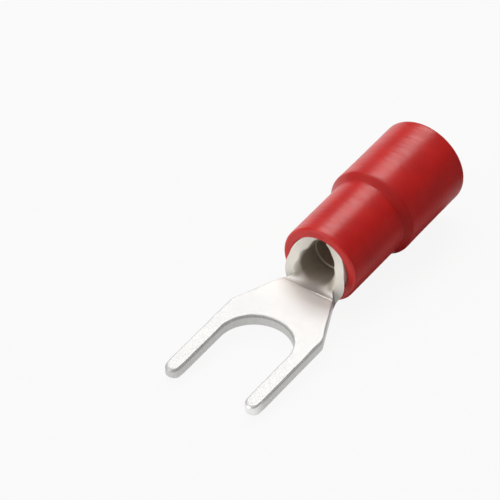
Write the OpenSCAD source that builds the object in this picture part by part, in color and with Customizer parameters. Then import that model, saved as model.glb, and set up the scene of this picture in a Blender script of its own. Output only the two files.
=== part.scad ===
// Insulated fork terminal for one wire and one screw.
// A blanked copper sheet makes the fork, the neck and the rolled wire barrel in one piece.
// A stepped vinyl sleeve is pushed over the barrel and runs on to take the wire's own insulation.
// X runs from the stud centre back to the wire entry. Z is up from the underside of the tongue.

/* [Tongue] */
// Width of the stud slot
slot_w = 4.3; // [3.2:0.1:5.3]
// Width of each prong
prong_w = 0.85; // [0.6:0.05:1.4]
// Stud centre to the prong tips
prong_reach = 4.4; // [3:0.1:7]
// Stud centre to the shoulders, where the tongue starts to narrow
shoulder_x = 2.2; // [1.6:0.1:3]
// Corner radius of the shoulders
shoulder_r = 0.8; // [0.2:0.1:1.2]
// Stud centre to the bend line across the neck
bend_x = 5.15; // [4.8:0.05:5.4]
// Width of the neck at the bend line
neck_w = 3.46; // [3.2:0.02:3.8]
// Thickness of the sheet
sheet_t = 0.75; // [0.5:0.05:1]

/* [Barrel] */
// Inside diameter of the wire barrel
bore_d = 2.1; // [1.7:0.1:2.6]
// Stud centre to the corner where the neck meets the barrel's front edge
corner_x = 5.72; // [5.5:0.02:5.9]
// Stud centre to the place where the barrel has its full curve
roll_x = 6.15; // [6:0.05:6.35]
// How far the front edge leans back between the neck and the seam
front_lean = 1.2; // [0.8:0.1:1.6]
// Length of the barrel inside the sleeve
barrel_len = 4.8; // [3.5:0.1:7]
// How far the barrel's underside lies below the tongue's underside
barrel_drop = 0.23; // [0:0.01:0.4]
// Gap left where the rolled edges meet on top
seam_gap = 0.12; // [0.06:0.02:0.3]
// Countersink at the wire end of the barrel
mouth_chamfer = 0.3; // [0.1:0.05:0.45]
// Front of the sleeve to the first grip groove inside the barrel
groove_start = 1.1; // [0.7:0.1:1.5]
// Spacing of the grip grooves
groove_pitch = 1.2; // [0.8:0.1:2]
// Width of each grip groove
groove_w = 0.25; // [0.15:0.05:0.4]
// Depth of each grip groove
groove_depth = 0.1; // [0.05:0.01:0.2]

/* [Sleeve] */
// Stud centre to the front face of the sleeve
face_x = 6.4; // [6.4:0.1:7.5]
// Wall of the narrow end that grips the barrel
grip_wall = 0.55; // [0.4:0.05:1]
// Inside diameter of the wire entry
entry_d = 4.3; // [4:0.1:6]
// Wall of the wire entry
entry_wall = 0.55; // [0.4:0.05:1]
// Length of the wire entry behind the shoulder
entry_len = 5.5; // [4:0.1:9]
// Length of the cone between the grip and the wire entry
cone_len = 0.4; // [0.2:0.05:1]
// Edge radius of the sleeve's two ends
end_edge_r = 0.15; // [0.05:0.01:0.18]
// Edge radius of the sleeve's shoulder
shoulder_edge_r = 0.25; // [0.1:0.05:0.4]
// Radial clearance between the barrel and the sleeve
sleeve_fit = 0.02; // [0.01:0.01:0.05]
// Length of grip past the barrel's wire end, before the cone starts
seat_margin = 0.1; // [0.05:0.05:0.5]

/* [Hidden] */
$fn = 96;
copper_tin = [0.80, 0.80, 0.78];
vinyl_red = [0.70, 0.10, 0.11];
// overlap that carries a cut clear through a face
cut = 0.1;
// the neck's loft is this much slimmer than the sheet all round, and this much longer at each end,
// so that it roots inside the tongue and the barrel
root_inset = 0.02;
root_len = 0.2;
// the curl starts more slowly than the dip of the neck's floor
curl_delay = 1.4;
neck_steps = 7;
edge_steps = 16;
loft_strips = 32;
slot_r = slot_w / 2;
fork_half = slot_r + prong_w;
taper = (fork_half - neck_w / 2) / (bend_x - shoulder_x);
bore_r = bore_d / 2;
mean_r = bore_r + sheet_t / 2;
barrel_r = bore_r + sheet_t;
axis_z = barrel_r - barrel_drop;
barrel_end = face_x + barrel_len;
corner_half = neck_w / 2 - taper * (corner_x - bend_x);
seam_half = PI * mean_r - seam_gap / 2;
edge_slope = (seam_half - corner_half) / front_lean;
groove_count = floor((barrel_len - groove_start - groove_w - mouth_chamfer) / groove_pitch) + 1;
grip_bore_r = barrel_r + sleeve_fit;
grip_r = grip_bore_r + grip_wall;
entry_r = entry_d / 2;
sleeve_r = entry_r + entry_wall;
cone_x = barrel_end + seat_margin;
entry_x = cone_x + cone_len;
sleeve_end = entry_x + entry_len;

function unit(v) = v / norm(v);
function clamp01(u) = min(max(u, 0), 1);
function ease(u) = u * u * (3 - 2 * u);

// Half the angle between the two edges that meet at point i of an outline
function half_angle(points, i) =
    let (n = len(points), p = points[i])
    acos(unit(points[(i + n - 1) % n] - p) * unit(points[(i + 1) % n] - p)) / 2;

// The two points where an edge radius at point i leaves the straight edges
function tangent_points(points, i, r) =
    let (n = len(points), p = points[i], d = r / tan(half_angle(points, i)))
    [p + d * unit(points[(i + n - 1) % n] - p), p + d * unit(points[(i + 1) % n] - p)];

// The centre of the edge radius at point i
function arc_centre(points, i, r) =
    let (n = len(points), p = points[i])
    p + unit(unit(points[(i + n - 1) % n] - p) + unit(points[(i + 1) % n] - p))
        * r / sin(half_angle(points, i));

// An outline whose outward corners are arcs; radius 0 keeps a corner sharp
module rounded_outline(points, radii) {
    polygon([for (i = [0:len(points) - 1])
        each radii[i] > 0 ? tangent_points(points, i, radii[i]) : [points[i]]]);
    for (i = [0:len(points) - 1])
        if (radii[i] > 0)
            translate(arc_centre(points, i, radii[i])) circle(r = radii[i]);
}

// A rod or cone on the barrel's axis, from station x towards the wire entry
module rod_on_axis(x, length, r, r_end = undef) {
    translate([x, 0, axis_z]) rotate([0, 90, 0])
        cylinder(h = length, r1 = r, r2 = is_undef(r_end) ? r : r_end);
}

// Triangles for a closed loop of points carried along rows, with both ends capped by strips
function tube_faces(rows, loop) = concat(
    [for (i = [0:rows - 2], j = [0:loop - 1], upper = [0, 1])
        let (a = i * loop + j, b = i * loop + (j + 1) % loop)
        upper == 0 ? [a, b, b + loop] : [a, b + loop, a + loop]],
    [for (end = [0, rows - 1], j = [0:loop / 2 - 2], upper = [0, 1])
        let (a = end * loop + j, b = end * loop + loop - 1 - j)
        let (tri = upper == 0 ? [a, b, b - 1] : [a, b - 1, a + 1])
        end == 0 ? tri : [tri[2], tri[1], tri[0]]]);

// The flat of the tongue: two round-ended prongs, and a body that narrows to the neck
module tongue_outline() {
    difference() {
        union() {
            for (side = [-1, 1])
                translate([prong_w / 2 - prong_reach, side * (slot_r + prong_w / 2)]) {
                    circle(d = prong_w);
                    translate([0, -prong_w / 2]) square([prong_reach - prong_w / 2, prong_w]);
                }
            rounded_outline(
                [[0, -fork_half], [shoulder_x, -fork_half], [bend_x, -neck_w / 2],
                 [bend_x, neck_w / 2], [shoulder_x, fork_half], [0, fork_half]],
                [0, shoulder_r, 0, 0, shoulder_r, 0]);
        }
        circle(d = slot_w);
        translate([-prong_reach - cut, -slot_r]) square([prong_reach + cut, slot_w]);
    }
}

// How far along the neck station x lies: 0 at the bend line, 1 where the barrel has its full curve
function neck_share(x) = clamp01((x - bend_x) / (roll_x - bend_x));

// How far the sheet is curled at station x: 0 is flat, 1 is the barrel's own curve
function curl_share(x) = max(ease(pow(neck_share(x), curl_delay)), 1e-4);

// Half the blank's width at station x, measured along the curve of the sheet
function blank_half(x) =
    x < corner_x ? corner_half + taper * (corner_x - x) : corner_half + edge_slope * (x - corner_x);

// A point of the rolled sheet: station x, distance s across it and height n above its middle surface
function sheet_point(x, s, n) =
    let (curve_r = mean_r / curl_share(x), turn = s / curve_r * 180 / PI)
    let (mid_z = sheet_t / 2 - barrel_drop * (1 - pow(1 - neck_share(x), 2)))
    [x, (curve_r - n) * sin(turn), mid_z + curve_r - (curve_r - n) * cos(turn)];

// The neck, lofted from the flat tongue into the lower part of the barrel
module rolled_neck() {
    stations = concat(
        [bend_x - root_len],
        [for (i = [0:neck_steps]) bend_x + (corner_x - bend_x) * i / neck_steps],
        [for (i = [1:neck_steps]) corner_x + (roll_x - corner_x) * i / neck_steps],
        [roll_x + root_len]);
    half_t = sheet_t / 2 - root_inset;
    points = [for (x = stations) let (half = blank_half(x) - root_inset)
        each concat(
            [for (j = [0:loft_strips]) sheet_point(x, half * (2 * j / loft_strips - 1), half_t)],
            [for (j = [0:loft_strips]) sheet_point(x, half * (1 - 2 * j / loft_strips), -half_t)])];
    polyhedron(points, tube_faces(len(stations), 2 * (loft_strips + 1)));
}

// What is cut away ahead of the leaning front edge, on one side of the barrel
module front_edge_cut() {
    from = (corner_half + edge_slope * (roll_x - corner_x)) / mean_r * 180 / PI;
    to = 181;
    points = [for (i = [0:edge_steps])
        let (turn = from + (to - from) * i / edge_steps)
        let (x = corner_x + (turn * PI / 180 * mean_r - corner_half) / edge_slope)
        for (p = [[x, bore_r / 2], [roll_x - cut, bore_r / 2], [roll_x - cut, barrel_r + cut], [x, barrel_r + cut]])
            [p[0], p[1] * sin(turn), axis_z - p[1] * cos(turn)]];
    polyhedron(points, tube_faces(edge_steps + 1, 4));
}

// The rolled barrel, open along its seam, grooved inside and countersunk for the wire
module wire_barrel() {
    difference() {
        rod_on_axis(roll_x, barrel_end - roll_x, barrel_r);
        rod_on_axis(roll_x - cut, barrel_end - roll_x + 2 * cut, bore_r);
        rod_on_axis(barrel_end - mouth_chamfer, mouth_chamfer + cut, bore_r, bore_r + mouth_chamfer + cut);
        for (i = [0:groove_count - 1])
            rod_on_axis(face_x + groove_start + i * groove_pitch, groove_w, bore_r + groove_depth);
        translate([roll_x - cut, -seam_gap / 2, axis_z])
            cube([barrel_end - roll_x + 2 * cut, seam_gap, barrel_r + cut]);
        front_edge_cut();
        mirror([0, 1, 0]) front_edge_cut();
    }
}

// The metal part: tongue, neck and barrel of one sheet
module crimp_fork() {
    color(copper_tin) {
        linear_extrude(height = sheet_t) tongue_outline();
        rolled_neck();
        wire_barrel();
    }
}

// The sleeve's wall as radius and station: a narrow grip, a cone and a wider wire entry
module sleeve_profile() {
    rounded_outline(
        [[grip_bore_r, face_x], [grip_r, face_x], [grip_r, cone_x], [sleeve_r, entry_x],
         [sleeve_r, sleeve_end], [entry_r, sleeve_end], [entry_r, entry_x], [grip_bore_r, cone_x]],
        [0, end_edge_r, 0, shoulder_edge_r, end_edge_r, end_edge_r, 0, 0]);
}

module insulating_sleeve() {
    color(vinyl_red) translate([0, 0, axis_z]) rotate([0, 90, 0]) rotate_extrude() sleeve_profile();
}

crimp_fork();
insulating_sleeve();
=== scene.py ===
import math
import bmesh
import bpy
import numpy as np
from mathutils import Matrix, Vector


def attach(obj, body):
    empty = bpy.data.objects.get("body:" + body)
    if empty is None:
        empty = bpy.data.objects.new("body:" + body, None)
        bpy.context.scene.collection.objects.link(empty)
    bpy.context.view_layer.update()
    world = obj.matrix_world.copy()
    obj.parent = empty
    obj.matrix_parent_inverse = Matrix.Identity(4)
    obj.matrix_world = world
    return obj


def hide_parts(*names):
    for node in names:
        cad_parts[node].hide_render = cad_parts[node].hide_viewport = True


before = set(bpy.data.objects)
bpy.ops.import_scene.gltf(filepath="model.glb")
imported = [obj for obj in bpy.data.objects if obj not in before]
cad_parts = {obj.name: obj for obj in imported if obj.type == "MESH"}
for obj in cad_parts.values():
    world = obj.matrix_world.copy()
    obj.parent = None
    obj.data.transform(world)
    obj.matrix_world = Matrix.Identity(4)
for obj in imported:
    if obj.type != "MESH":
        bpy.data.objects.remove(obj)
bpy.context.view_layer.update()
mm = 0.001


def unit(v):
    # v divided by its own length
    return v / np.linalg.norm(v)


def ease(u):
    # smooth step: 3u^2 - 2u^3, with u held between 0 and 1
    u = np.clip(u, 0.0, 1.0)
    return u * u * (3.0 - 2.0 * u)


def straightRun(start, end, shares):
    # points start + share * (end - start), all with the same heading
    start, end = np.array(start, float), np.array(end, float)
    points = start + np.asarray(shares)[:, None] * (end - start)
    return points, np.tile(unit(end - start), (len(points), 1))


def arcRun(centre, start, end, shares):
    # points centre + r (cos a, sin a), with a going the short way from start to end; heading is the tangent
    centre, start, end = (np.array(p, float) for p in (centre, start, end))
    a0, a1 = (math.atan2(*(p - centre)[::-1]) for p in (start, end))
    turn = (a1 - a0 + math.pi) % (2 * math.pi) - math.pi
    a = a0 + turn * np.asarray(shares)
    ring = np.stack([np.cos(a), np.sin(a)], 1)
    heading = np.stack([-np.sin(a), np.cos(a)], 1) * math.copysign(1.0, turn)
    return centre + np.linalg.norm(start - centre) * ring, heading


def cornerArc(before, corner, after, radius):
    # arc touching both edges of a corner: it leaves them radius / tan(half angle) away from the corner
    before, corner, after = (np.array(p, float) for p in (before, corner, after))
    a, b = unit(before - corner), unit(after - corner)
    half = math.acos(float(a @ b)) / 2
    reach = radius / math.tan(half)
    return corner + a * reach, corner + b * reach, corner + unit(a + b) * radius / math.sin(half)


def evenShares(steps):
    # steps shares from 0 up to, and not with, 1
    return np.arange(steps) / steps


def gridFaces(rows, columns):
    # four-sided faces between the points of a grid that is stored row after row
    i, j = np.meshgrid(np.arange(rows - 1), np.arange(columns - 1), indexing="ij")
    corner = i * columns + j
    return np.stack([corner, corner + columns, corner + columns + 1, corner + 1], -1).reshape(-1, 4).tolist()


def newPiece(name, points, faces, floats=None):
    # a mesh object from an array of points in mm and a list of faces; floats are named values at the points
    mesh = bpy.data.meshes.new(name)
    mesh.from_pydata((np.asarray(points) * mm).tolist(), [], faces)
    for key, values in (floats or {}).items():
        mesh.attributes.new(key, "FLOAT", "POINT").data.foreach_set("value", np.asarray(values, np.float32))
    piece = bpy.data.objects.new(name, mesh)
    bpy.context.scene.collection.objects.link(piece)
    return piece


def sealPiece(piece, reach=1e-7):
    # merges doubles, turns every face outwards and shades it smoothly
    work = bmesh.new()
    work.from_mesh(piece.data)
    bmesh.ops.remove_doubles(work, verts=work.verts, dist=reach)
    bmesh.ops.dissolve_degenerate(work, edges=work.edges, dist=reach)
    bmesh.ops.recalc_face_normals(work, faces=work.faces)
    openEdges = sum(1 for e in work.edges if len(e.link_faces) != 2)
    work.to_mesh(piece.data)
    work.free()
    piece.data.shade_smooth()
    print(piece.name, len(piece.data.polygons), "faces, open edges", openEdges)


fork = {
    "slotRadius": 2.15, "prongWidth": 0.85, "prongReach": 4.4, "shoulderX": 2.2, "shoulderRadius": 0.8,
    "bendX": 5.15, "neckHalf": 1.73, "thickness": 0.75, "rearX": 11.2,
    "boreRadius": 1.05, "cornerX": 5.72, "cornerRadius": 0.16, "rollX": 6.15, "curlDelay": 1.4,
    "frontLean": 1.2, "seamCornerRadius": 0.16, "floorDrop": 0.23, "seamGap": 0.12,
    # the bend line: a ridge that grows to each side and a dip before it, both placed in crease widths
    "creaseSoftness": 0.03, "creaseMiddle": 0.007, "creaseRidge": (0.012, 0.023), "creaseWidth": 0.06,
    "ridgeAt": 1.0, "dipAt": -0.6, "dipShare": 0.8,
    # edge radii, larger round the tip, and the length of path over which the tip's share fades
    "rollOver": 0.085, "tipRollOver": 0.2, "tipFade": 0.55, "burrSide": 0.045, "tipUnder": 0.24, "underFade": 0.6,
    # wander of the upper radius: waves of share, rate, start and turn by phase
    "edgeWander": 0.3, "wanderRise": 1.2, "wander": ((0.6, 3.1, 0.0, 1.0), (0.4, 7.7, 1.0, 2.0)),
    # the leaning front edge is torn and drawn thin, and least so beside the notch
    "frontRollOver": 0.13, "frontWander": 0.7, "frontDraw": 1.6, "frontFade": 1.5, "notchDraw": 0.3, "drawRise": 1.1,
    "tearRate": 1.9, "tearMiddle": 0.5, "tearWave": (0.4, 6.3, 2.3),
    # the inner face is drawn thin towards the seam
    "seamThin": (0.42, 0.08), "thinFrom": 3.2, "thinRise": 1.0, "thinReach": 0.8,
    # room for the rounds
    "bandWidth": 0.115, "tipBand": 0.19, "frontBand": 0.84, "lowBand": 0.05, "tipLowBand": 0.25, "tipBandFade": 0.9,
    "grooveStarts": (7.5, 8.7, 9.9), "grooveWidth": 0.25, "grooveDepth": 0.1, "grooveSide": 0.05,
    "mouthChamfer": 0.3, "rearEdge": 0.07,
    # where the painted shade (bore, underside, notch), the rolled edges' lighter colour and rougher surface, the warm
    # tone and the painted tip highlight change, and the length over which they do
    "boreFrom": 5.6, "boreRise": 0.9, "flankFrom": 5.55, "flankRise": 0.25, "flankUp": 0.92, "flankUpRise": 0.5,
    "underFrom": 6.05, "underRise": 0.35, "underShare": 0.75, "rolledFrom": 5.4, "rolledRise": 0.5,
    "notchX": 5.55, "notchReach": (0.38, 0.22), "heelFrom": 2.5, "heelRise": 3.0, "tipReach": 0.5,
    # the tips' painted highlight and polish, for the left and right halves
    "phases": (0.4, 2.3), "tipHighlightAndPolish": (0.15, 1.0),   # left and right
    # rows along the blank and points across it
    "tipRows": 9, "prongRows": 8, "arcRows": (16, 10, 12), "slotTurns": (90, 52, 40, 0),
    "bodyStart": 3.1, "bodyRows": 10, "neckLead": 0.2, "neckRows": 9, "bendRows": (-0.15, 0.2, 22),
    "notchRows": 30, "frontRows": 44, "crownRows": 8,
    "grooveRows": (-0.03, 0, 0.012, 0.025, 0.038, 0.05, 0.08), "mouthRows": (-0.02, 0, 0.02, 0.12), "rearRows": 5,
    "barrelStep": 0.17, "barrelEnd": 0.1,
    "columns": 36, "columnEnds": (0.012, 0.035), "topArc": 16, "wallSteps": 3, "lowArc": 4,
}
fork["meanRadius"] = fork["boreRadius"] + fork["thickness"] / 2
fork["axisZ"] = fork["boreRadius"] + fork["thickness"] - fork["floorDrop"]
fork["half"] = fork["slotRadius"] + fork["prongWidth"]
fork["taper"] = (fork["half"] - fork["neckHalf"]) / (fork["bendX"] - fork["shoulderX"])
fork["cornerHalf"] = fork["neckHalf"] - fork["taper"] * (fork["cornerX"] - fork["bendX"])
fork["seamHalf"] = math.pi * fork["meanRadius"] - fork["seamGap"] / 2


def sheetPoint(p, x, s, n):
    # rolled sheet: s is bent round a circle of radius meanRadius / curl, n stands off along that radius,
    # and the middle of the sheet sinks by floorDrop along the neck
    along = (x - p["bendX"]) / (p["rollX"] - p["bendX"])
    soft = p["creaseSoftness"]
    along = np.clip(0.5 * (along + np.sqrt(along * along + soft * soft)) - soft * soft / 4, 0.0, 1.0)
    curl = np.maximum(ease(along ** p["curlDelay"]), 1e-4)
    bend = p["meanRadius"] / curl
    turn = s / bend
    mid = p["thickness"] / 2 - p["floorDrop"] * (1 - (1 - along) ** 2)
    return np.stack([x, (bend - n) * np.sin(turn), mid + bend - (bend - n) * np.cos(turn)], -1)


def forkRows(p):
    # two matched paths on the flat blank, x along and s across: the inner one follows the tip, the slot and
    # then the centre line, the outer one follows the tip, the side, the leaning front edge and the seam
    r, half, slot = p["prongWidth"] / 2, p["half"], p["slotRadius"]
    tip = np.array([r - p["prongReach"], slot + r])
    neckCorner = np.array([p["cornerX"], p["cornerHalf"]])
    seamCorner = np.array([p["cornerX"] + p["frontLean"], p["seamHalf"]])
    bendCorner = np.array([p["bendX"], p["neckHalf"]])
    shoulder = cornerArc((0, half), (p["shoulderX"], half), bendCorner, p["shoulderRadius"])
    notch = cornerArc(bendCorner, neckCorner, seamCorner, p["cornerRadius"])
    crown = cornerArc(neckCorner, seamCorner, (p["rearX"], p["seamHalf"]), p["seamCornerRadius"])

    def sideAt(x):
        # the tapered side: neckHalf at the bend line, wider by taper for each millimetre before it
        return np.array([x, p["neckHalf"] + p["taper"] * (p["bendX"] - x)])

    def slotAt(deg):
        # the slot's round end: radius times cosine and sine
        return slot * np.array([math.cos(math.radians(deg)), math.sin(math.radians(deg))])

    neckStart = p["bendX"] - p["neckLead"]
    even = evenShares(p["tipRows"])
    tipShares = (np.sin(even * math.pi / 2) + even) / 2
    bendShares = (np.linspace(*p["bendRows"]) + p["neckLead"]) / (notch[0][0] - neckStart)
    neckShares = np.unique(np.concatenate([np.linspace(0, 1, p["neckRows"]), bendShares]))[:-1]
    crownX, rearX = crown[1][0], p["rearX"]
    barrelX = [crownX, rearX]
    for g in p["grooveStarts"]:
        barrelX += [g + d for d in (*p["grooveRows"], p["grooveWidth"] / 2)]
        barrelX += [g + p["grooveWidth"] - d for d in p["grooveRows"]]
    barrelX += [rearX - p["mouthChamfer"] + d for d in p["mouthRows"]]
    barrelX += list(rearX - p["rearEdge"] * (1 - np.sin(np.linspace(0, 1, p["rearRows"]) * math.pi / 2)))
    barrelX += list(np.arange(crownX, rearX - p["barrelEnd"], p["barrelStep"]))
    barrelX = np.clip(np.unique(np.round(barrelX, 4)), crownX, rearX)
    barrelX[0], barrelX[-1] = crownX, rearX
    seamShares = (barrelX - crownX) / (rearX - crownX)
    arcRows, turns = p["arcRows"], [slotAt(deg) for deg in p["slotTurns"]]
    outer = [
        arcRun(tip, tip + (-r, 0), tip + (0, r), tipShares),
        straightRun((tip[0], half), (0, half), evenShares(p["prongRows"])),
        straightRun((0, half), shoulder[0], evenShares(arcRows[0])),
        arcRun(shoulder[2], shoulder[0], shoulder[1], evenShares(arcRows[1])),
        straightRun(shoulder[1], sideAt(p["bodyStart"]), evenShares(arcRows[2])),
        straightRun(sideAt(p["bodyStart"]), sideAt(neckStart), evenShares(p["bodyRows"])),
        straightRun(sideAt(neckStart), notch[0], neckShares),
        arcRun(notch[2], notch[0], notch[1], evenShares(p["notchRows"])),
        straightRun(notch[1], crown[0], evenShares(p["frontRows"])),
        arcRun(crown[2], crown[0], crown[1], evenShares(p["crownRows"])),
        straightRun(crown[1], (rearX, p["seamHalf"]), seamShares),
    ]
    inner = [
        arcRun(tip, tip + (-r, 0), tip + (0, -r), tipShares),
        straightRun((tip[0], slot), (0, slot), evenShares(p["prongRows"])),
        *(arcRun((0, 0), turns[k], turns[k + 1], evenShares(arcRows[k])) for k in range(3)),
        straightRun((slot, 0), (neckStart, 0), evenShares(p["bodyRows"])),
    ]
    slotRows = sum(len(run[0]) for run in inner[:5])  # the row at the slot's root is row slotRows
    outerPath, outerHeading = (np.concatenate([run[k] for run in outer]) for k in (0, 1))
    innerPath, innerHeading = (np.concatenate([run[k] for run in inner]) for k in (0, 1))
    innerHeading[slotRows] = (0, -1)
    inwardOuter = np.stack([outerHeading[:, 1], -outerHeading[:, 0]], 1)
    # the front edge's share: it rises round the notch, run 7, and falls to nothing along the front edge, run 8
    front = [np.zeros(len(run[0])) for run in outer]
    front[7], front[8] = evenShares(p["notchRows"]), 1 - evenShares(p["frontRows"]) ** p["frontFade"]
    front = np.concatenate(front)
    bandX = outerPath[:, 0] + np.maximum(0, inwardOuter[:, 0]) * bandWidths(p, outerPath, front)[0]
    # past the slot, the centre line keeps the x of the edge band's inner side
    rest = np.stack([bandX, 0 * bandX], 1)[len(innerPath):]
    innerPath = np.concatenate([innerPath, rest])
    innerHeading = np.concatenate([innerHeading, np.tile((0.0, 1.0), (len(rest), 1))])
    inwardInner = np.stack([-innerHeading[:, 1], innerHeading[:, 0]], 1)
    return innerPath, inwardInner, outerPath, inwardOuter, front, slotRows


def pathLength(path):
    # distance along a path from its first point
    return np.concatenate([[0], np.cumsum(np.linalg.norm(np.diff(path, axis=0), axis=1))])


def bandWidths(p, path, front):
    # width of the edge band above and below: a fixed width, wider round the tip and along the front edge
    tip = np.exp(-(pathLength(path) / p["tipBandFade"]) ** 2)
    return (p["bandWidth"] + p["tipBand"] * tip + (p["frontBand"] - p["bandWidth"]) * front,
            p["lowBand"] + p["tipLowBand"] * tip)


def edgeBand(p, path, front=0.0, phase=0.0):
    # blanked edge as depth in from the path and height n, from the upper face to the underside: a quarter round
    # whose radius wanders along the edge, an upright wall and a smaller quarter round; both rounds end inside the
    # band, and along the front edge the upper one is torn and stretched, least so beside the notch
    t, length = p["thickness"], pathLength(path)
    front = front + 0 * length
    swing = sum(share * np.sin(rate * length + start + turn * phase) for share, rate, start, turn in p["wander"])
    waveShare, waveRate, waveTurn = p["tearWave"]
    torn = np.abs(np.sin(p["tearRate"] * length + phase)) - p["tearMiddle"]
    torn = torn + waveShare * np.sin(waveRate * length + waveTurn * phase)
    worn = front * (p["notchDraw"] + (1 - p["notchDraw"]) * ease((path[:, 1] - p["cornerHalf"]) / p["drawRise"]))
    top = p["rollOver"] * (1 + p["edgeWander"] * ease(length / p["wanderRise"]) * swing)
    top = top + p["tipRollOver"] * np.exp(-(length / p["tipFade"]) ** 2)
    top = (top + p["frontRollOver"] * worn * np.maximum(0, 1 + p["frontWander"] * torn))[:, None]
    low = (p["burrSide"] + p["tipUnder"] * np.exp(-(length / p["underFade"]) ** 2))[:, None]
    drawn = top * (1 + p["frontDraw"] * worn[:, None])   # the round is stretched where the edge is drawn
    a = np.linspace(0, math.pi / 2, p["topArc"] + 1)[None, :]
    b = np.linspace(0, math.pi / 2, p["lowArc"] + 1)[None, :]
    w = (np.arange(1, p["wallSteps"] + 1) / (p["wallSteps"] + 1))[None, :]
    wide, wideLow = (width[:, None] + 0 * top for width in bandWidths(p, path, front))
    topDepth, lowDepth = wide * (1 - np.sin(a)), wideLow * (1 - np.cos(b))
    inTop = 1 - np.minimum(1, topDepth / drawn)   # 0 where the round begins, 1 at the wall
    inLow = 1 - np.minimum(1, lowDepth / low)
    wallTop, wallLow = t / 2 - top, -t / 2 + low
    depth = np.concatenate([topDepth, 0 * w * top, lowDepth], 1)
    height = np.concatenate([t / 2 - top * (1 - np.sqrt(1 - inTop ** 2)), wallTop + (wallLow - wallTop) * w,
                             -t / 2 + low * (1 - np.sqrt(1 - inLow ** 2))], 1)
    share = np.concatenate([ease(np.arcsin(inTop) / math.pi * 2), 1 + 0 * w * top,
                            1 - ease(np.arccos(inLow) / math.pi * 2)], 1)
    return depth, height, share


def upperHeight(p, x, s, ridge, thin):
    # height of the upper face: a fine ridge at the bend line, which grows from the middle of the sheet to its
    # side, a slope down to the front edge near the seam, the barrel's grip grooves and its countersunk end
    n = np.full(x.shape, p["thickness"] / 2)
    off = (x - p["bendX"]) / p["creaseWidth"]
    ridge = p["creaseMiddle"] + (ridge - p["creaseMiddle"]) * ease(s)
    n += ridge * (np.exp(-(off - p["ridgeAt"]) ** 2) - p["dipShare"] * np.exp(-(off - p["dipAt"]) ** 2))
    edgeX = p["cornerX"] + p["frontLean"] * (s - p["cornerHalf"]) / (p["seamHalf"] - p["cornerHalf"])
    n -= thin * ease((s - p["thinFrom"]) / p["thinRise"]) * ease(1 - (x - edgeX) / p["thinReach"])
    for g in p["grooveStarts"]:
        rise = ease((x - g) / p["grooveSide"]) * ease((g + p["grooveWidth"] - x) / p["grooveSide"])
        n -= p["grooveDepth"] * rise
    return n - np.maximum(0, x - (p["rearX"] - p["mouthChamfer"]))


def underHeight(p, x):
    # height of the underside: flat, with a quarter round at the rear end
    r = p["rearEdge"]
    into = np.clip(x - (p["rearX"] - r), 0, r)
    return -p["thickness"] / 2 + r - np.sqrt(r * r - into * into)


def forkHalf(p, phase, shine, ridge, thin):
    # rows run across the blank as closed loops: upper face, outer edge, underside and, beside the slot, inner edge
    innerPath, inwardInner, outerPath, inwardOuter, front, slotRows = forkRows(p)
    rows = len(outerPath)
    depthOut, heightOut, shareOut = edgeBand(p, outerPath, front, phase)
    depthIn, heightIn, shareIn = edgeBand(p, innerPath)
    beside = (np.arange(rows) <= slotRows)[:, None]
    depthIn = np.where(beside, depthIn, 0)
    end, second = p["columnEnds"]
    across = np.concatenate([[0, end], np.linspace(second, 1 - second, p["columns"] - 3), [1 - end, 1]])[None, :, None]

    def faceBetween(k):
        # straight across from the inner path to the outer one, both moved in by their bands
        a = innerPath + inwardInner * depthIn[:, k, None]
        b = outerPath + inwardOuter * depthOut[:, k, None]
        return a[:, None, :] + across * (b - a)[:, None, :]

    upper, under = faceBetween(0), faceBetween(-1)[:, ::-1]
    bandOut = outerPath[:, None, :] + inwardOuter[:, None, :] * depthOut[:, 1:-1, None]
    bandIn = (innerPath[:, None, :] + inwardInner[:, None, :] * depthIn[:, 1:-1, None])[:, ::-1]
    flat = np.concatenate([upper, bandOut, under, bandIn], 1)
    upperN, underN = upperHeight(p, upper[..., 0], upper[..., 1], ridge, thin), underHeight(p, under[..., 0])

    def carry(height, at):
        # the band's heights squeezed to the local thickness, where the sheet is thinned
        hi, lo = upperHeight(p, at[..., 0], at[..., 1], ridge, thin), underHeight(p, at[..., 0])
        return lo + (height + p["thickness"] / 2) / p["thickness"] * (hi - lo)

    n = np.concatenate([upperN, carry(heightOut[:, 1:-1], bandOut), underN,
                        carry(heightIn[:, 1:-1][:, ::-1], bandIn)], 1)
    x, s = flat[..., 0], flat[..., 1]

    def boreShade(at):
        # painted shade: the upper face darkens into the bore, along the neck's floor, and up the walls from the flanks
        # on
        floor = ease((at[..., 0] - p["boreFrom"]) / p["boreRise"])
        flank = ease((at[..., 1] - p["flankUp"]) / p["flankUpRise"])
        return np.maximum(floor, flank * ease((at[..., 0] - p["flankFrom"]) / p["flankRise"]))

    # painted shade: the band's upper round darkens on the bore's side, up to its wall
    fromWall = np.cumsum(shareOut[:, 1:-1] >= 1, axis=1) > 0
    boreEdge = boreShade(bandOut) * np.where(fromWall, 0, 1 - shareOut[:, 1:-1] ** 2)
    # painted shade on the underside where it runs into the sleeve
    underShade = p["underShare"] * ease((under[..., 0] - p["underFrom"]) / p["underRise"])
    # painted shade round the notch's corner, reaching farther in front of it than behind
    notchReach = np.where(x < p["notchX"], *p["notchReach"])
    floats = {
        "cutEdge": np.concatenate([np.zeros(upperN.shape), shareOut[:, 1:-1],
                                   np.zeros(underN.shape), shareIn[:, 1:-1][:, ::-1]], 1),
        "cutDepth": 0.5 - n / p["thickness"],   # 0 at the upper face, 1 at the underside
        "bore": np.concatenate([boreShade(upper), boreEdge, underShade, np.zeros(shareIn[:, 1:-1].shape)], 1),
        # rolled barrel: its cut edges are lightened, partly as painted light, and its surface is rougher
        "rolled": ease((x - p["rolledFrom"]) / p["rolledRise"]),
        "notch": np.exp(-((x - p["notchX"]) / notchReach) ** 2),
        "heel": ease((x - p["heelFrom"]) / p["heelRise"]),
        # painted highlight and polish on the tips' ends
        "tip": shine * np.exp(-((x + p["prongReach"]) / p["tipReach"]) ** 2),
    }
    return sheetPoint(p, x, s, n), floats, slotRows, bandOut.shape[1]


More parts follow.
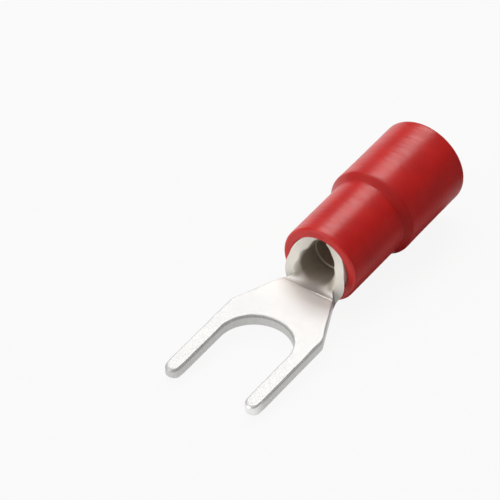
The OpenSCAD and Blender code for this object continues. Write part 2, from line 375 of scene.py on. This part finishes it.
def makeFork(p):
    # two halves, the second turned over to the other side, joined along the centre line
    sides = [[p[key][k] for key in ("phases", "tipHighlightAndPolish", "creaseRidge", "seamThin")] for k in (0, 1)]
    left, floats, slotRows, band = forkHalf(p, *sides[0])
    right, otherFloats = forkHalf(p, *sides[1])[:2]
    rows, loop = left.shape[:2]
    i, m = np.meshgrid(np.arange(rows - 1), np.arange(loop), indexing="ij")
    nextM = (m + 1) % loop
    quads = np.stack([i * loop + m, i * loop + nextM, (i + 1) * loop + nextM, (i + 1) * loop + m], -1)
    innerBandStart = loop - band - 1
    quads = quads[(m < innerBandStart) | (i < slotRows)]
    c = np.arange(p["columns"])
    last = (rows - 1) * loop
    top, low = last + c, last + innerBandStart - c
    rear = np.stack([top, top + 1, low - 1, low], -1)
    rim = list(range(last + p["columns"], last + p["columns"] + band + 2))
    faces = np.concatenate([quads, rear]).tolist() + [rim]
    count = rows * loop
    mirrored = [[v + count for v in reversed(f)] for f in faces]
    points = np.concatenate([left.reshape(-1, 3), right.reshape(-1, 3) * (1, -1, 1)])
    used = np.zeros(len(points), bool)
    used[np.concatenate([np.array(faces[:-1]).ravel(), np.array(rim)])] = True
    used[count:] = used[:count]
    order = np.cumsum(used) - 1
    allFaces = [order[np.array(f)].tolist() for f in faces + mirrored]
    values = {k: np.concatenate([floats[k].ravel(), otherFloats[k].ravel()])[used] for k in floats}
    piece = newPiece("crimpFork", points[used], allFaces, values)
    sealPiece(piece)
    return piece


sleeve = {
    "faceX": 6.4, "gripBore": 1.82, "gripRadius": 2.37, "coneX": 11.3, "entryX": 11.7,
    "outerRadius": 2.70, "entryRadius": 2.15, "endX": 17.2,
    "frontEdge": 0.17, "crease": 0.14, "shoulderEdge": 0.3, "rearEdge": 0.14, "boreEdge": 0.05, "innerTurn": 0.1,
    "bead": 0.03, "beadRise": 0.3, "beadReach": 0.7,
    # drawing ripples on the outside: waves of share, rate along, sway, turns round and start, faded at both ends
    "ripple": 0.0017, "waves": ((1.0, 21.0, 1.3, 2, 0.4), (1.0, 33.7, 2.0, 3, math.pi / 2), (0.8, 13.1, -1.1, 1, 1.0)),
    "rippleStart": 0.2, "rippleEnd": 0.1, "rippleFade": 0.3, "outsideFrom": 2.2, "outsideRise": 0.1,
    # painted shade: the step's cone is drawn a deeper red
    "stepShadeX": 11.5, "stepShadeWidth": 0.3,   # the step's cone is a deeper red
    "segments": 176, "arcRows": 8, "rowLength": 0.06, "hiddenRow": 0.3,
}


def sleeveProfile(p):
    # closed wall outline, x along and r outwards, with an arc at every corner
    corners = [((p["faceX"], p["gripBore"]), p["boreEdge"]), ((p["faceX"], p["gripRadius"]), p["frontEdge"]),
               ((p["coneX"], p["gripRadius"]), p["crease"]), ((p["entryX"], p["outerRadius"]), p["shoulderEdge"]),
               ((p["endX"], p["outerRadius"]), p["rearEdge"]), ((p["endX"], p["entryRadius"]), p["rearEdge"]),
               ((p["entryX"], p["entryRadius"]), p["innerTurn"]), ((p["coneX"], p["gripBore"]), p["innerTurn"])]
    places = [c[0] for c in corners]
    count = len(places)
    arcs = [cornerArc(places[k - 1], places[k], places[(k + 1) % count], corners[k][1]) for k in range(count)]
    parts = []
    for k, arc in enumerate(arcs):
        after = arcs[(k + 1) % count]
        parts.append(arcRun(arc[2], arc[0], arc[1], evenShares(p["arcRows"]))[0])
        gap = np.linalg.norm(after[0] - arc[1])
        rowLength = p["rowLength"] if k in (1, 3) else p["hiddenRow"]   # fine on both tubes' outsides
        steps = max(2, int(gap / rowLength))
        parts.append(straightRun(arc[1], after[0], evenShares(steps))[0])
    return np.concatenate(parts)


def makeSleeve(p):
    # the outline turned about the barrel's axis: y = r sin a, z = axis + r cos a; the outside carries a soft bead
    # behind the shoulder and fine drawing ripples that change slowly round the tube; painted shade is 1 at the step's
    # cone
    line = sleeveProfile(p)
    x, r = line[:, 0, None], line[:, 1, None]
    a = (np.arange(p["segments"]) * 2 * math.pi / p["segments"])[None, :]
    outside = ease((r - p["outsideFrom"]) / p["outsideRise"])
    outside = outside * ease((x - p["faceX"] - p["rippleStart"]) / p["rippleFade"])
    outside = outside * ease((p["endX"] - p["rippleEnd"] - x) / p["rippleFade"])
    behind = x - p["entryX"]
    bead = p["bead"] * ease(behind / p["beadRise"] + 0.5) * np.exp(-np.maximum(0, behind) / p["beadReach"])
    ripple = sum(share * np.sin(rate * x + sway * np.sin(turns * a + start))
                 for share, rate, sway, turns, start in p["waves"])
    radius = r + outside * (bead * (x > p["coneX"]) + p["ripple"] * ripple)
    points = np.stack([x + 0 * a, radius * np.sin(a), fork["axisZ"] + radius * np.cos(a)], -1)
    rows, loop = points.shape[:2]
    i, m = np.meshgrid(np.arange(rows), np.arange(loop), indexing="ij")
    nextI, nextM = (i + 1) % rows, (m + 1) % loop
    quads = np.stack([i * loop + m, nextI * loop + m, nextI * loop + nextM, i * loop + nextM], -1).reshape(-1, 4)
    stepShade = np.exp(-((x - p["stepShadeX"]) / p["stepShadeWidth"]) ** 2) + 0 * a
    piece = newPiece("insulatingSleeve", points.reshape(-1, 3), quads.tolist(), {"stepShade": stepShade.ravel()})
    sealPiece(piece)
    return piece


def addNode(tree, kind, values=None, **settings):
    # a node with settings on itself and values on its input sockets
    node = tree.nodes.new(kind)
    for key, value in settings.items():
        setattr(node, key, value)
    for key, value in (values or {}).items():
        node.inputs[key].default_value = value
    return node


def newFinish(name):
    # an empty node material with its output and Principled shader, and Object coordinates in millimetres
    finish = bpy.data.materials.new(name)
    finish.use_nodes = True
    tree = finish.node_tree
    tree.nodes.clear()
    output = addNode(tree, "ShaderNodeOutputMaterial")
    shader = addNode(tree, "ShaderNodeBsdfPrincipled")
    tree.links.new(shader.outputs["BSDF"], output.inputs["Surface"])
    place = addNode(tree, "ShaderNodeTexCoord")
    inMm = addNode(tree, "ShaderNodeMapping", {"Scale": (1000, 1000, 1000)})
    tree.links.new(place.outputs["Object"], inMm.inputs["Vector"])
    return finish, tree, shader, inMm.outputs["Vector"]


def grainNode(tree, place, scale, stretch=(1, 1, 1), detail=3.0, roughness=0.5):
    # noise in cycles per millimetre, drawn out along the axes with a low stretch
    turn = addNode(tree, "ShaderNodeMapping", {"Scale": stretch})
    noise = addNode(tree, "ShaderNodeTexNoise", {"Scale": scale, "Detail": detail, "Roughness": roughness})
    tree.links.new(place, turn.inputs["Vector"])
    tree.links.new(turn.outputs["Vector"], noise.inputs["Vector"])
    return noise.outputs["Fac"]


def rangeNode(tree, source, low, high, fromLow=0.0, fromHigh=1.0):
    # source carried from one range to another
    limits = {"From Min": fromLow, "From Max": fromHigh, "To Min": low, "To Max": high}
    node = addNode(tree, "ShaderNodeMapRange", limits)
    tree.links.new(source, node.inputs["Value"])
    return node.outputs["Result"]


def blendColours(tree, share, first, second):
    # colour mix; each side is a colour or another node's output
    node = addNode(tree, "ShaderNodeMix", data_type="RGBA")
    tree.links.new(share, node.inputs[0])
    for socket, side in ((node.inputs[6], first), (node.inputs[7], second)):
        if isinstance(side, tuple):
            socket.default_value = (*side, 1)
        else:
            tree.links.new(side, socket)
    return node.outputs[2]


def sumNode(tree, operation, first, second):
    # one maths step between two outputs, or an output and a number
    node = addNode(tree, "ShaderNodeMath", operation=operation)
    for k, side in enumerate((first, second)):
        if isinstance(side, (int, float)):
            node.inputs[k].default_value = side
        else:
            tree.links.new(side, node.inputs[k])
    return node.outputs[0]


def pieceValue(tree, key):
    # a named value that the piece's points carry
    return addNode(tree, "ShaderNodeAttribute", attribute_name=key).outputs["Fac"]


def addRelief(p, tree, shader, relief):
    # bump from a height output, by the finish's own strength and depth
    bump = addNode(tree, "ShaderNodeBump", {"Strength": p["bump"], "Distance": p["bumpDepth"]})
    tree.links.new(relief, bump.inputs["Height"])
    tree.links.new(bump.outputs["Normal"], shader.inputs["Normal"])


tin = {
    # the cut colour is duller sheared metal, darkened further as painted shade
    "bright": (0.76, 0.755, 0.745), "warm": (0.88, 0.85, 0.805), "cut": (0.60, 0.595, 0.58),
    # the cut line's colour is painted shade, the rolled cut's is a warm tint lightened by painted light, and the tips'
    # is a painted highlight
    "cutLine": (0.30, 0.295, 0.285), "litRolledCut": (0.82, 0.78, 0.71), "paintedTipHighlight": (0.96, 0.955, 0.94),
    # the bore's dark colour is painted shade
    "boreShadeColour": (0.54, 0.49, 0.41), "metallic": 0.76,
    "roughness": 0.49, "roughSpread": 0.08, "neckRoughness": 0.06, "tipPolish": 0.17,
    # noise in cycles per millimetre, and the span of it that is used
    "cloud": 0.9, "cloudSpan": (0.45, 0.75), "cloudShare": 0.35, "grain": 9.0, "noiseSpan": (0.35, 0.65),
    "scratch": 5.0, "scratchStretch": (0.08, 2.0, 2.0),
    "shear": 7.0, "shearStretch": (1.6, 1.6, 0.25), "shearLow": 0.75,
    "lineRise": (0.06, 0.14), "lineFall": (0.18, 0.34), "lineTip": 0.6,   # the dark line's depth in the cut
    "bump": 0.12, "bumpDepth": 0.000004, "grainRelief": 0.6, "shearRelief": 1.5,
}


def tinFinish(p):
    # bright tin with rolling scratches along the strip, cloudy warm patches, warmer towards the barrel, and duller cut
    # edges; painted shade darkens the cut edges further, the bore, its flanks, the underside by the sleeve and the
    # notch's corner, painted light lightens the rolled wings' cut edges, and a painted highlight brightens the tips
    finish, tree, shader, place = newFinish("brightTin")
    cutEdge, cutDepth, bore, rolled, notch, heel, tip = (
        pieceValue(tree, key) for key in ("cutEdge", "cutDepth", "bore", "rolled", "notch", "heel", "tip"))
    cloud = grainNode(tree, place, p["cloud"], detail=4.0)
    grain = grainNode(tree, place, p["grain"], detail=4.0, roughness=0.6)
    scratch = grainNode(tree, place, p["scratch"], p["scratchStretch"], detail=4.0, roughness=0.65)
    shear = grainNode(tree, place, p["shear"], p["shearStretch"], detail=3.0)
    warmShare = sumNode(tree, "MAXIMUM", rangeNode(tree, cloud, 0.0, p["cloudShare"], *p["cloudSpan"]), heel)
    colour = blendColours(tree, warmShare, p["bright"], p["warm"])
    cutShare = sumNode(tree, "MULTIPLY", cutEdge, rangeNode(tree, shear, p["shearLow"], 1.0, *p["noiseSpan"]))
    # the cut walls: duller sheared metal darkened further as painted shade, and a dark line painted under the upper
    # round as painted shade, which fades towards the burnished tip
    lineStart = rangeNode(tree, cutDepth, 0.0, 1.0, *p["lineRise"])
    line = sumNode(tree, "MULTIPLY", lineStart, rangeNode(tree, cutDepth, 1.0, 0.0, *p["lineFall"]))
    line = sumNode(tree, "MULTIPLY", line, rangeNode(tree, tip, 1.0, 0.0, 0.0, p["lineTip"]))
    wall = blendColours(tree, line, p["cut"], p["cutLine"])
    # the rolled wings' cut edges turn lighter, partly as painted light where they face the lamps, and the wall round
    # the notch's corner turns dark as painted shade
    wall = blendColours(tree, notch, blendColours(tree, rolled, wall, p["litRolledCut"]), p["cutLine"])
    # painted highlight on the tips' ends
    wall = blendColours(tree, tip, wall, p["paintedTipHighlight"])
    colour = blendColours(tree, cutShare, colour, wall)
    # painted shade: the colour turns dark in the bore, up its flanks and under the barrel by the sleeve
    tree.links.new(blendColours(tree, bore, colour, p["boreShadeColour"]), shader.inputs["Base Color"])
    rough = rangeNode(tree, grain, p["roughness"], p["roughness"] + p["roughSpread"], *p["noiseSpan"])
    rough = sumNode(tree, "ADD", rough, sumNode(tree, "MULTIPLY", rolled, p["neckRoughness"]))
    polish = sumNode(tree, "MULTIPLY", sumNode(tree, "MULTIPLY", tip, cutEdge), p["tipPolish"])
    tree.links.new(sumNode(tree, "SUBTRACT", rough, polish), shader.inputs["Roughness"])
    relief = sumNode(tree, "ADD", scratch, sumNode(tree, "MULTIPLY", grain, p["grainRelief"]))
    shearOnCut = sumNode(tree, "MULTIPLY", shear, cutEdge)
    addRelief(p, tree, shader, sumNode(tree, "ADD", relief, sumNode(tree, "MULTIPLY", shearOnCut, p["shearRelief"])))
    shader.inputs["Metallic"].default_value = p["metallic"]
    return finish


vinyl = {
    "red": (0.68, 0.012, 0.010), "deep": (0.60, 0.009, 0.008), "stepShadeRed": (0.50, 0.006, 0.005),
    "roughness": 0.28, "roughSpread": 0.08, "specular": 0.64, "shine": (1.0, 0.80, 0.77),
    # noise in cycles per millimetre, and the span of it that is used
    "mottle": 0.8, "rings": 5.0, "ringStretch": (1.0, 0.12, 0.12), "grain": 12.0, "noiseSpan": (0.35, 0.65),
    "bump": 0.25, "bumpDepth": 0.000004, "grainRelief": 0.35,
}


def vinylFinish(p):
    # soft red vinyl: faint mottling, painted shade that makes the step a deeper red, fine rings left by drawing the
    # tube and a satin surface
    finish, tree, shader, place = newFinish("redVinyl")
    mottle = grainNode(tree, place, p["mottle"], detail=3.0)
    rings = grainNode(tree, place, p["rings"], p["ringStretch"], detail=3.0)
    grain = grainNode(tree, place, p["grain"], detail=2.0)
    colour = blendColours(tree, rangeNode(tree, mottle, 0, 1, *p["noiseSpan"]), p["red"], p["deep"])
    # painted shade at the step's cone
    colour = blendColours(tree, pieceValue(tree, "stepShade"), colour, p["stepShadeRed"])
    tree.links.new(colour, shader.inputs["Base Color"])
    rough = rangeNode(tree, rings, p["roughness"], p["roughness"] + p["roughSpread"], *p["noiseSpan"])
    tree.links.new(rough, shader.inputs["Roughness"])
    addRelief(p, tree, shader, sumNode(tree, "ADD", rings, sumNode(tree, "MULTIPLY", grain, p["grainRelief"])))
    shader.inputs["Specular IOR Level"].default_value = p["specular"]
    shader.inputs["Specular Tint"].default_value = (*p["shine"], 1)
    return finish


metalPiece = makeFork(fork)
metalPiece.data.materials.append(tinFinish(tin))
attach(metalPiece, "root")
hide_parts("crimp_fork")
print("fork made")

sleevePiece = makeSleeve(sleeve)
sleevePiece.data.materials.append(vinylFinish(vinyl))
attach(sleevePiece, "root")
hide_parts("insulating_sleeve")
print("sleeve made")

ground = {
    "size": 900, "divisions": 12, "frontX": 6.57, "restX": 12.0, "clearance": 0.006,
    "colour": (0.66, 0.66, 0.66), "whiteShare": 0.9,
}


def groundHeight(p, x):
    # the plane on which the sleeve's front edge and its shoulder lie: low + slope * (x - frontX)
    low = fork["axisZ"] - sleeve["gripRadius"]
    slope = (sleeve["gripRadius"] - sleeve["outerRadius"] - sleeve["bead"]) / (p["restX"] - p["frontX"])
    return low + slope * (x - p["frontX"]) - p["clearance"]


def makeGround(p):
    # the resting plane as an even grid
    count = p["divisions"] + 1
    u = np.linspace(-p["size"] / 2, p["size"] / 2, count)
    x, y = np.meshgrid(u, u, indexing="ij")
    points = np.stack([x, y, groundHeight(p, x)], -1).reshape(-1, 3)
    return newPiece("ground", points, gridFaces(count, count))


def viewShare(p, tree):
    # share of white in what the camera, a reflection or a clear material sees of the ground
    path = addNode(tree, "ShaderNodeLightPath")
    seen = sumNode(tree, "MAXIMUM", path.outputs["Is Glossy Ray"], path.outputs["Is Transmission Ray"])
    seen = sumNode(tree, "MAXIMUM", seen, path.outputs["Is Camera Ray"])
    return sumNode(tree, "MULTIPLY", seen, p["whiteShare"])


def groundFinish(p):
    # pale matt ground, shown nearly white and clear from below
    finish = bpy.data.materials.new("paleGround")
    finish.use_nodes = True
    finish.cycles.emission_sampling = "NONE"   # its white is seen, and is no lamp
    tree = finish.node_tree
    tree.nodes.clear()
    output = addNode(tree, "ShaderNodeOutputMaterial")
    matt = addNode(tree, "ShaderNodeBsdfDiffuse", {"Color": (*p["colour"], 1)})
    white = addNode(tree, "ShaderNodeEmission", {"Color": (1, 1, 1, 1), "Strength": 1.0})
    clear = addNode(tree, "ShaderNodeBsdfTransparent")
    shown = addNode(tree, "ShaderNodeMixShader")
    sided = addNode(tree, "ShaderNodeMixShader")
    facing = addNode(tree, "ShaderNodeNewGeometry")
    tree.links.new(viewShare(p, tree), shown.inputs[0])
    tree.links.new(matt.outputs[0], shown.inputs[1])
    tree.links.new(white.outputs[0], shown.inputs[2])
    tree.links.new(facing.outputs["Backfacing"], sided.inputs[0])
    tree.links.new(shown.outputs[0], sided.inputs[1])
    tree.links.new(clear.outputs[0], sided.inputs[2])
    tree.links.new(sided.outputs[0], output.inputs["Surface"])
    return finish


groundPiece = makeGround(ground)
groundPiece.data.materials.append(groundFinish(ground))

studio = {
    "centre": (6.0, 0.0, 1.5), "distance": 400,
    "dome": {"toward": (-0.25, 0.35, 0.90), "low": 0.06, "high": 0.50, "from": -0.1, "to": 1.0},
    "sweep": {"level": 1.0, "low": 0.06, "high": 0.14},
    "softboxes": [
        {"name": "backBox", "toward": (0.627, 0.275, 0.728), "wide": 205, "long": 130, "radiance": 4.5},
        {"name": "topBox", "toward": (0.0, 0.30, 0.95), "wide": 300, "long": 300, "radiance": 1.6},
        {"name": "frontPanel", "toward": (-0.85, 0.40, 0.30), "wide": 200, "long": 120, "radiance": 4.5},
    ],
    # painted shadow: a card seen only in reflections stands in for the shaded floor beside the part
    "card": {
        "x": (6, 110), "y": (-1.5, -60), "rise": 40, "lift": 0.02, "divisions": 4, "roughness": 0.9,
        "near": (0.60, 0.60, 0.60), "far": (0.03, 0.03, 0.03), "fade": (-3.2, -4.6),
    },
}


def surroundLevel(p, tree):
    # light of the room by direction: white along the horizon, where the sweep ends, and above it a soft dome that
    # brightens evenly from low to high as the direction turns towards the dome's own axis
    room, sweep = p["dome"], p["sweep"]
    toward = addNode(tree, "ShaderNodeTexCoord").outputs["Generated"]
    split = addNode(tree, "ShaderNodeSeparateXYZ")
    tree.links.new(toward, split.inputs[0])
    axis = addNode(tree, "ShaderNodeVectorMath", operation="DOT_PRODUCT")
    tree.links.new(toward, axis.inputs[0])
    axis.inputs[1].default_value = Vector(room["toward"]).normalized()
    dome = rangeNode(tree, axis.outputs["Value"], room["low"], room["high"], room["from"], room["to"])
    above = rangeNode(tree, split.outputs["Z"], 0.0, 1.0, sweep["low"], sweep["high"])
    level = sumNode(tree, "MULTIPLY", above, sumNode(tree, "SUBTRACT", dome, sweep["level"]))
    return sumNode(tree, "ADD", level, sweep["level"])


def makeCard(p):
    # sloping card to the right of the part, grey at its foot and dark above, seen only in reflections: painted shadow
    # that stands in for the shaded floor beside the part; z rises evenly as y goes out
    count = p["divisions"] + 1
    u, v = np.meshgrid(np.linspace(0, 1, count), np.linspace(0, 1, count), indexing="ij")
    x = p["x"][0] + u * (p["x"][1] - p["x"][0])
    y = p["y"][0] + v * (p["y"][1] - p["y"][0])
    z = groundHeight(ground, x) + p["lift"] + v * p["rise"]
    card = newPiece("reflectedShadowCard", np.stack([x, y, z], -1).reshape(-1, 3), gridFaces(count, count))
    finish, tree, shader, place = newFinish("reflectedShadowCard")
    split = addNode(tree, "ShaderNodeSeparateXYZ")
    tree.links.new(place, split.inputs[0])
    share = rangeNode(tree, split.outputs["Y"], 0.0, 1.0, *p["fade"])
    tree.links.new(blendColours(tree, share, p["near"], p["far"]), shader.inputs["Base Color"])
    shader.inputs["Roughness"].default_value = p["roughness"]
    card.data.materials.append(finish)
    card.visible_camera = card.visible_shadow = card.visible_diffuse = False


def lightStudio(p):
    # soft boxes aimed at the part, and a surround that lights it evenly
    centre = Vector(p["centre"]) * mm
    for box in p["softboxes"]:
        toward = Vector(box["toward"]).normalized()
        lamp = bpy.data.lights.new(box["name"], "AREA")
        lamp.shape, lamp.size, lamp.size_y = "RECTANGLE", box["wide"] * mm, box["long"] * mm
        lamp.energy = box["radiance"] * math.pi * box["wide"] * box["long"] * mm * mm
        holder = bpy.data.objects.new(box["name"], lamp)
        side = Vector((0, 0, 1)).cross(toward).normalized()  # wide runs level, long runs up and down
        axes = Matrix((side, toward.cross(side), toward)).transposed().to_4x4()
        holder.matrix_world = Matrix.Translation(centre + toward * p["distance"] * mm) @ axes
        bpy.context.scene.collection.objects.link(holder)
    world = bpy.data.worlds.new("surround")
    bpy.context.scene.world = world
    world.use_nodes = True
    tree = world.node_tree
    tree.nodes.clear()
    output = addNode(tree, "ShaderNodeOutputWorld")
    back = addNode(tree, "ShaderNodeBackground", {"Color": (1, 1, 1, 1)})
    tree.links.new(surroundLevel(p, tree), back.inputs["Strength"])
    tree.links.new(back.outputs[0], output.inputs["Surface"])


makeCard(studio["card"])
lightStudio(studio)
print("studio lit")

photoView = {
    "eye": (-132.9899, -88.4288, 146.346), "right": (0.558373, -0.829577, 0.004654),
    "up": (0.542799, 0.369579, 0.754175), "back": (-0.627367, -0.418584, 0.656657),
    "lens": 288.0, "sensor": 36.0, "clip": (0.01, 10.0),
}


def placeCamera(p):
    # camera axes as columns right, up and back, with the eye as place
    lens = bpy.data.cameras.new("photoCamera")
    lens.lens, lens.sensor_width = p["lens"], p["sensor"]
    lens.clip_start, lens.clip_end = p["clip"]
    camera = bpy.data.objects.new("photoCamera", lens)
    axes = np.eye(4)
    axes[:3, :4] = np.stack([p["right"], p["up"], p["back"], np.array(p["eye"]) * mm], 1)
    camera.matrix_world = Matrix(axes.tolist())
    bpy.context.scene.collection.objects.link(camera)
    bpy.context.scene.camera = camera


placeCamera(photoView)
bpy.context.scene.view_settings.view_transform = "Standard"
print("camera placed")
